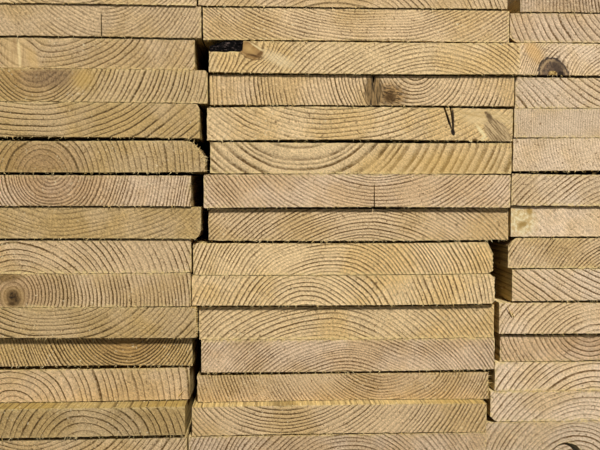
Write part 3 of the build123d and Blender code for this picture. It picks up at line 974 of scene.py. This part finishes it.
def addFibres(bm, board, bakeMap, cutEnd):
    # torn fibres hang from the lower arris of the shown end, and stand out where a side is torn
    many = fibres["many"] + (fibres["manyTorn"] if board["torn"] else 0)
    front, inset = board["front"] + fibres["back"] * mm, fibres["inset"] * mm
    for i in range(many):
        onSide = i >= fibres["many"]
        long = random.uniform(*fibres["longTorn" if onSide else "long"]) * mm
        thick = fibres["thick"] * random.uniform(*fibres["differs"]) * mm
        curl = random.uniform(-fibres["bent"], fibres["bent"])
        if onSide:
            z = random.uniform(board["bottom"] + inset, board["top"] - inset)
            base = Vector((board["right"] - inset, front, z))
            way = Vector((random.uniform(0.5, 1.0), random.uniform(-0.5, 0.1), random.uniform(-0.8, 0.8)))
        else:
            x = random.uniform(board["left"] + inset, board["right"] - inset)
            u = (x - board["left"]) / board["width"] - 0.5
            sag = board["cup"] * (1 - 4 * u * u)
            atTop = random.random() < fibres["onTop"] or board["bottom"] < 5 * mm
            z = board["top"] + (sag - 0.25) * mm if atTop else board["bottom"] + (sag + 0.35) * mm
            base = Vector((x, front, z))
            way = Vector((random.uniform(-0.9, 0.9), -0.75, random.uniform(0.5, 1.0)))
            way.z *= 0.6 if atTop else -1
        if not bareAt(board, base):
            addFibre(bm, base, way, long, thick, curl, (i + 0.5) / (many + 1), bakeMap, cutEnd)
    for right, up, lean, long, thick in board["splinters"]:
        base = Vector((middleOf(board) + right * mm, board["front"] - 0.05 * mm,
                       (board["top"] + board["bottom"]) / 2 + up * mm))
        addFibre(bm, base, Vector((lean, -0.25, 1.0)), long * mm, thick * mm, 0.1, 0.5, bakeMap, cutEnd)


# The bark in a pocket: back from the face and deep, mm, how high it stands at its left edge and
# grows, as shares of the pocket, how much it narrows to the back, and how rough it is, mm
barkLump = {"cuts": 13, "back": 0.8, "deep": 45.0, "low": 0.42, "grows": 0.6, "growsOver": 0.55,
            "narrows": 0.4, "rough": 1.1}


def addBark(bm, board):
    # the bark that fills a pocket, a rough lump a little behind the face
    for _, across, down, _, _ in board["pockets"]:
        part = bmesh.new()
        bakeMap = newLayers(part)[0]
        bmesh.ops.create_cube(part, size=1.0)
        bmesh.ops.subdivide_edges(part, edges=part.edges, cuts=barkLump["cuts"], use_grid_fill=True)
        for face in part.faces:
            face.material_index = 2
            face.smooth = True
            for loop in face.loops:
                p = loop.vert.co
                loop[bakeMap].uv = mapPlace("bark", p.x + 0.5, p.z * 0.8 + p.y * 0.1 + 0.5)
        corner = Vector((board["left"] + 0.2 * mm, board["front"], board["top"]))
        for v in part.verts:
            right, back, up = v.co + Vector((0.5, 0.5, 0.5))
            x = right * (across - 0.4)
            y = barkLump["back"] + back * barkLump["deep"]
            share = min(1.0, (x + 2) / (across * barkLump["growsOver"]))
            tall = min(down * (barkLump["low"] + barkLump["grows"] * share), down + 0.2) - 0.3
            z = -down + 0.1 + up * tall * (1 - back * barkLump["narrows"])
            q = Vector((x * 0.9, y * 0.6, z * 0.9))
            rough = Vector([noise.noise(q + Vector(shift)) for shift in ((0, 0, 0), (7, 0, 0), (0, 7, 0))])
            v.co = corner + (Vector((x, y, z)) + rough * barkLump["rough"]) * mm
        addPart(bm, part)


def addLooseKnot(bm, board, hole):
    # the knot that sits loose in its hole, standing on the same plane as the lower face
    part = bmesh.new()
    bakeMap, cutEnd = newLayers(part)[:2]
    bmesh.ops.create_cone(part, cap_ends=True, segments=40, radius1=1.0, radius2=1.0,
                          depth=hole["depth"] - 1, matrix=Matrix.Rotation(math.pi / 2, 4, "X"))
    wide = (hole["width"] / 2 - 2 * hole["gap"]) * mm
    tall = (hole["height"] - hole["gap"]) * mm
    middle = middleOf(board) + (hole["place"] - hole["gap"]) * mm
    for v in part.verts:
        y = board["front"] + (v.co.y + hole["depth"] / 2 + 0.3) * mm
        v.co = (middle + v.co.x * wide, y, board["bottom"] + v.co.z * tall)
    cut = bmesh.ops.bisect_plane(part, geom=everything(part), plane_co=(0, 0, board["bottom"] + 0.02 * mm),
                                 plane_no=(0, 0, 1), clear_inner=True)
    edges = [g for g in cut["geom_cut"] if isinstance(g, bmesh.types.BMEdge)]
    bmesh.ops.edgeloop_fill(part, edges=edges)
    bmesh.ops.recalc_face_normals(part, faces=part.faces)
    for face in part.faces:
        face[cutEnd] = 1.0
        for loop in face.loops:
            p = loop.vert.co
            up = min(1.0, (p.z - board["bottom"]) / (10 * mm))
            loop[bakeMap].uv = mapPlace("bark", (p.x - middle) / (2 * wide) + 0.5, up)
    addPart(bm, part)


def addTrim(bm, board):
    # what stands on a board's shown end: torn fibres, bark in a pocket and a loose knot
    part = bmesh.new()
    bakeMap, cutEnd = newLayers(part)[:2]
    addFibres(part, board, bakeMap, cutEnd)
    addBark(part, board)
    if board["hole"]:
        addLooseKnot(part, board, board["hole"])
    addPart(bm, part)


def markWane(sides, board, waney):
    # the faces that the round of the log left, where bark still clings
    for face, side in sides.items():
        middle = face.calc_center_median()
        for corner, across, _, run, _ in steepCuts(board):
            gone = (middle.y - board["front"]) / mm / run
            inward = inwardFrom(board, corner, middle.x)
            if corner.startswith(side) and gone < 1 and inward < across * (1 - gone):
                face[waney] = boardMesh["bark"]


def makeBoard(name, spec, seed):
    board = {**plainBoard, **spec, **readBoard(name), "seed": seed,
             "wane": wane.get(name, []), "pockets": barkPockets.get(name, []),
             "checks": endChecks.get(name, []), "hole": looseKnots.get(name),
             "splinters": splinters.get(name, []),
             "spots": [{**plainSpot, **spot} for spot in spots.get(name, [])]}
    bm = blockMesh(board)
    bakeMap, cutEnd, waney, fray = newLayers(bm)
    sides = {face: sideOf(face) for face in bm.faces}
    for face, side in sides.items():
        face.smooth = True
        face[cutEnd] = 1.0 if side in ("front", "back") else 0.0
        for loop in face.loops:
            loop[bakeMap].uv = mapPoint(side, loop.vert.co, board["length"])
    shapeBoard(bm, board, fray)
    markWane(sides, board, waney)
    addTrim(bm, board)
    mesh = newMesh(name + "_sawn", bm)
    mesh.set_sharp_from_angle(angle=math.radians(boardMesh["sharpOver"]))
    piece = newObject(name + "_sawn", mesh)
    mesh.materials.append(woodMaterial(name + "_wood", board))
    mesh.materials.append(fibreMaterial)
    if board["pockets"]:
        mesh.materials.append(barkMaterial)
    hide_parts(name)
    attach(piece, "root")
    return piece


random.seed(11)
seedStep = 1.37  # so that each board is other wood
count = 0
for side, specs in (("left", leftBoards), ("middle", middleBoards), ("right", rightBoards)):
    for i, spec in enumerate(specs):
        spec["over"] = specs[i + 1]["under"] if i + 1 < len(specs) else 0.0
        name = f"board_{side}_{i + 1:02d}"
        count += 1
        piece = makeBoard(name, spec, count * seedStep)
    print("boards made:", side)


# Floor, light and camera

stage = {"floorSize": 14.0, "floorColour": (214, 213, 210), "floorRough": 0.9, "backdrop": (226, 226, 224),
         "skyColour": (0.98, 0.99, 1.0, 1.0), "skyLight": 0.125}
lamps = [
    {"name": "key", "at": (0.5, -3.2, 2.75), "to": (0.0, -1.2, 0.15), "size": 0.4, "power": 149.0},
    {"name": "fill", "at": (-2.2, 3.4, 2.6), "to": (0.0, 0.4, 0.1), "size": 1.6, "power": 90.0},
    {"name": "right", "at": (3.6, 0.4, 1.8), "to": (0.3, 0.2, 0.15), "size": 1.6, "power": 75.0},
    {"name": "left", "at": (-3.6, -0.2, 1.8), "to": (-0.3, 0.2, 0.15), "size": 1.6, "power": 60.0},
]
# The camera: in metres from the stack's middle, its foremost end and the floor, and in degrees
photoView = {"lens": 42.0, "lensToEnds": 0.439, "leftOfMiddle": 0.0529, "height": 0.1705,
             "turned": 2.45, "down": 2.6, "mostForward": 0.008}


def makeFloor():
    bm = bmesh.new()
    bmesh.ops.create_grid(bm, x_segments=1, y_segments=1, size=stage["floorSize"] / 2)
    floor = newObject("floor", newMesh("floor", bm))
    look = bpy.data.materials.new("floorPaint")
    look.use_nodes = True
    paintShader = look.node_tree.nodes["Principled BSDF"]
    paintShader.inputs["Base Color"].default_value = shade(stage["floorColour"])
    paintShader.inputs["Roughness"].default_value = stage["floorRough"]
    floor.data.materials.append(look)
    floor.visible_diffuse = False  # the paint throws no light up at the boards


def makeLamps():
    for spec in lamps:
        data = bpy.data.lights.new(spec["name"], "AREA")
        data.size = spec["size"]
        data.energy = spec["power"]
        lamp = newObject(spec["name"], data)
        lamp.location = spec["at"]
        lamp.rotation_euler = (Vector(spec["to"]) - Vector(spec["at"])).to_track_quat("-Z", "Y").to_euler()


def makeWorld():
    # even light from all round, and a pale backdrop that only the camera, glass and metal see
    world = bpy.data.worlds.new("studio")
    world.use_nodes = True
    bpy.context.scene.world = world
    tree = world.node_tree
    ray = addNode(tree, "ShaderNodeLightPath", {}, "Is Camera Ray")
    seen = ray
    for kind in ("Is Glossy Ray", "Is Transmission Ray"):
        seen = calc("MAXIMUM", seen, ray.other(kind))
    sky = tree.nodes["Background"]
    sky.inputs["Color"].default_value = stage["skyColour"]
    sky.inputs["Strength"].default_value = stage["skyLight"]
    backdrop = addNode(tree, "ShaderNodeBackground", {"Color": shade(stage["backdrop"])})
    both = addNode(tree, "ShaderNodeMixShader", {0: seen, 1: Wire(tree, sky.outputs[0]), 2: backdrop})
    tree.links.new(both.socket, tree.nodes["World Output"].inputs["Surface"])


def makeCamera():
    data = bpy.data.cameras.new("photoCamera")
    data.lens = photoView["lens"]
    data.clip_start = 0.01
    camera = newObject("photoCamera", data)
    ends = cadBox[0][1] + photoView["mostForward"]
    camera.location = (-photoView["leftOfMiddle"], ends - photoView["lensToEnds"], photoView["height"])
    turned, down = math.radians(photoView["turned"]), math.radians(photoView["down"])
    camera.rotation_euler = Euler((math.pi / 2 - down, 0, -turned))
    bpy.context.scene.camera = camera


makeFloor()
makeLamps()
makeWorld()
makeCamera()
bpy.context.scene.view_settings.view_transform = "Standard"
print("stage set")
